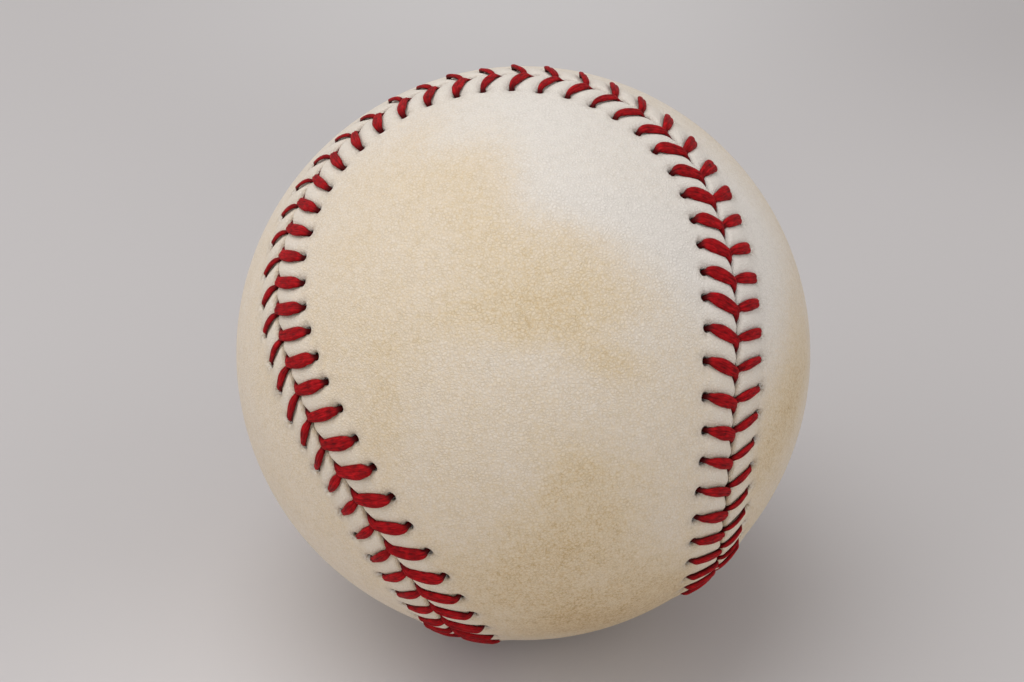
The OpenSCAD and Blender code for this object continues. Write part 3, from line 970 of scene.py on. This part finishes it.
def wound_yarn(name, light, dark, yarn_mm, roughness=0.9):
    m, shader = new_material(name, roughness, Sheen_Weight=0.35, Sheen_Roughness=0.6)
    place = add_node(m, "ShaderNodeTexCoord").outputs["Object"]
    height = None
    for turn in ((0.4, 0.2, 0.0), (1.5, 0.9, 0.3), (0.7, 2.3, 1.1)):
        laid = add_node(m, "ShaderNodeMapping", {"Vector": place})
        laid.inputs["Rotation"].default_value = turn
        bands = add_node(m, "ShaderNodeTexWave", {"Vector": laid.outputs[0]}, wave_type="BANDS", Scale=0.314 / (yarn_mm * MM), Distortion=2.5, Detail=2.0, Detail_Scale=1.5)
        height = bands.outputs["Fac"] if height is None else add_node(m, "ShaderNodeMath", {0: height, 1: bands.outputs["Fac"]}, operation="MAXIMUM").outputs[0]
    fuzz = add_node(m, "ShaderNodeTexNoise", {"Vector": place}, Scale=4000.0, Detail=3.0)
    both = add_node(m, "ShaderNodeMath", {0: fuzz.outputs["Fac"], 2: height}, operation="MULTIPLY_ADD")
    both.inputs[1].default_value = 0.4
    # Painted shade: the colour runs from dark in the hollows between the wound bands to light on their crests, and fuzz
    # varies it.
    m.node_tree.links.new(ramp(m, both.outputs[0], (0.35, dark), (1.0, light)), shader.inputs["Base Color"])
    bump = add_node(m, "ShaderNodeBump", {"Height": both.outputs[0]}, Strength=0.8, Distance=0.0004)
    m.node_tree.links.new(bump.outputs[0], shader.inputs["Normal"])
    return m


YARNS = [
    ([winding], "cotton_poly_yarn", "#EFE9DC", "#B9AE99", 0.45),
    ([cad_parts["outer_grey_winding"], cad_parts["inner_grey_winding"]], "grey_wool_yarn", "#9A9893", "#5C5A57", 1.3),
    ([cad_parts["white_wool_winding"]], "white_wool_yarn", "#E6E0D2", "#A9A291", 1.2),
]
for objects, name, light, dark, width in YARNS:
    dress(objects, wound_yarn(name, light, dark, width))
    print(name, "on", ", ".join(o.name for o in objects))

# %% Rubber and cork


def moulded_rubber(name, colour, bloom):
    m, shader = new_material(name, 0.62, IOR=1.52)
    place = add_node(m, "ShaderNodeTexCoord").outputs["Object"]
    dust = add_node(m, "ShaderNodeTexNoise", {"Vector": place}, Scale=300.0, Detail=6.0, Roughness=0.7)
    m.node_tree.links.new(ramp(m, dust.outputs["Fac"], (0.35, colour), (0.75, bloom)), shader.inputs["Base Color"])
    skin = add_node(m, "ShaderNodeTexNoise", {"Vector": place}, Scale=2500.0, Detail=2.0)
    bump = add_node(m, "ShaderNodeBump", {"Height": skin.outputs["Fac"]}, Strength=0.25, Distance=0.0002)
    m.node_tree.links.new(bump.outputs[0], shader.inputs["Normal"])
    return m


def pressed_cork():
    m, shader = new_material("pressed_cork", 0.85)
    place = add_node(m, "ShaderNodeTexCoord").outputs["Object"]
    grain = add_node(m, "ShaderNodeTexVoronoi", {"Vector": place}, Scale=700.0, Randomness=1.0)
    tone = add_node(m, "ShaderNodeSeparateColor", {"Color": grain.outputs["Color"]})
    m.node_tree.links.new(ramp(m, tone.outputs[0], (0.0, "#6E4524"), (0.25, "#B07B48"), (1.0, "#CFA06B")), shader.inputs["Base Color"])
    bump = add_node(m, "ShaderNodeBump", {"Height": grain.outputs["Distance"]}, invert=True, Strength=0.6, Distance=0.0004)
    m.node_tree.links.new(bump.outputs[0], shader.inputs["Normal"])
    return m


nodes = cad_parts
dress([nodes["cork_core"]], pressed_cork())
dress([nodes["upper_rubber_cup"], nodes["lower_rubber_cup"]], moulded_rubber("black_cup_rubber", "#1B1B1C", "#343334"))
dress([nodes["cup_joint_ring"], nodes["red_rubber_cover"]], moulded_rubber("red_cushion_rubber", "#8E2A20", "#A8493A"))
print("rubber on 4 nodes, cork on the core")

# %% [markdown]
# ## Floor and light
# The ball lies on a plain pale floor under a large soft lamp from above, with a bright room
# round it. The floor is one pale tone with soft clouds and painted pools of light and shade:
# lighter just by the ball and far in the middle, darker far to the right. Far off it fades into the haze.

# %% Floor
floor_mesh = bpy.data.meshes.new("floor")
REACH = 6.0
DOWN = -BALL_R * MM
floor_mesh.from_pydata([(-REACH, -REACH, DOWN), (REACH, -REACH, DOWN), (REACH, REACH, DOWN), (-REACH, REACH, DOWN)], [], [(0, 1, 2, 3)])
floor = bpy.data.objects.new("floor", floor_mesh)
bpy.context.scene.collection.objects.link(floor)


HAZE = "#C2BEBD"


def looked_at(material):
    """1 for rays that show the place itself, straight or in a mirror or glass; 0 for its light."""
    path = add_node(material, "ShaderNodeLightPath").outputs
    seen_or_mirrored = times(material, path["Is Camera Ray"], path["Is Glossy Ray"], "MAXIMUM")
    return times(material, seen_or_mirrored, path["Is Transmission Ray"], "MAXIMUM")


def painted_board():
    m, shader = new_material("painted_board", 0.9)
    shader.inputs["Specular IOR Level"].default_value = 0.1
    place = add_node(m, "ShaderNodeTexCoord").outputs["Object"]
    cloudy = add_node(m, "ShaderNodeTexNoise", {"Vector": place}, Scale=4.0, Detail=1.0)
    paint = ramp(m, cloudy.outputs["Fac"], (0.3, "#C4C0C0"), (0.7, "#C8C4C4"))
    # Painted pools of light and shade: a lighter pool by the ball lifts its shadow, a lighter one lies far in the
    # middle and a darker one far to the right.
    for x, y, reach, colour in ((-0.035, -0.040, 0.060, "#D4D0D0"), (0.0, 0.27, 0.14, "#D1CECE"), (0.16, 0.22, 0.13, "#BAB6B6")):
        moved = add_node(m, "ShaderNodeMapping", {"Vector": place}, vector_type="TEXTURE", Location=(x, y, DOWN), Scale=(reach, reach, reach))
        painted_pool = add_node(m, "ShaderNodeTexGradient", {"Vector": moved.outputs[0]}, gradient_type="SPHERICAL")
        paint = mixed(m, add_node(m, "ShaderNodeMapRange", {"Value": painted_pool.outputs["Fac"]}, interpolation_type="SMOOTHSTEP").outputs[0], paint, colour)
    m.node_tree.links.new(paint, shader.inputs["Base Color"])
    away = add_node(m, "ShaderNodeVectorMath", {0: place}, operation="LENGTH")
    far = times(m, between(m, away.outputs["Value"], 0.36, 0.80), looked_at(m))
    haze = add_node(m, "ShaderNodeEmission", Color=srgb(HAZE), Strength=1.0)
    both = add_node(m, "ShaderNodeMixShader", {0: far, 1: shader.outputs[0], 2: haze.outputs[0]})
    m.node_tree.links.new(both.outputs[0], m.node_tree.nodes["Material Output"].inputs["Surface"])
    return m


dress([floor], painted_board())
print("floor at", round(DOWN / MM, 2), "mm")

# %% Lamps and world


def area_lamp(name, place, target, size, power, colour="#FFFFFF"):
    data = bpy.data.lights.new(name, "AREA")
    data.shape, data.size, data.energy = "DISK", size, power
    data.color = srgb(colour)[:3]
    lamp = bpy.data.objects.new(name, data)
    back = unit(np.array(place, float) - np.array(target, float))
    side = unit(np.cross([0.0, 1.0, 0.0], back))
    top = np.cross(back, side)
    m = Matrix.Identity(4)
    for column, axis in enumerate((side, top, back, np.array(place, float))):
        for row in range(3):
            m[row][column] = axis[row]
    lamp.matrix_world = m
    bpy.context.scene.collection.objects.link(lamp)
    return lamp


area_lamp("key_above", (-0.22, 0.06, 0.86), (0, 0, 0), 0.8, 3.3)
area_lamp("left_fill", (-0.75, -0.3, 0.5), (0, 0, 0), 0.8, 1.7)
area_lamp("right_fill", (0.75, -0.3, 0.5), (0, 0, 0), 0.8, 1.05)
area_lamp("front_fill", (0.1, -0.95, 0.28), (0, 0, 0), 0.5, 1.0)

world = bpy.data.worlds.new("room")
world.use_nodes = True
lit = world.node_tree.nodes["Background"]
lit.inputs["Color"].default_value = srgb("#F2F1F0")
lit.inputs["Strength"].default_value = 0.52
shown = add_node(world, "ShaderNodeBackground", Color=srgb(HAZE), Strength=1.0)
room = add_node(world, "ShaderNodeMixShader", {0: looked_at(world), 1: lit.outputs[0], 2: shown.outputs[0]})
world.node_tree.links.new(room.outputs[0], world.node_tree.nodes["World Output"].inputs["Surface"])
bpy.context.scene.world = world
bpy.context.scene.view_settings.view_transform = "Standard"
print("four soft lamps and a pale room")
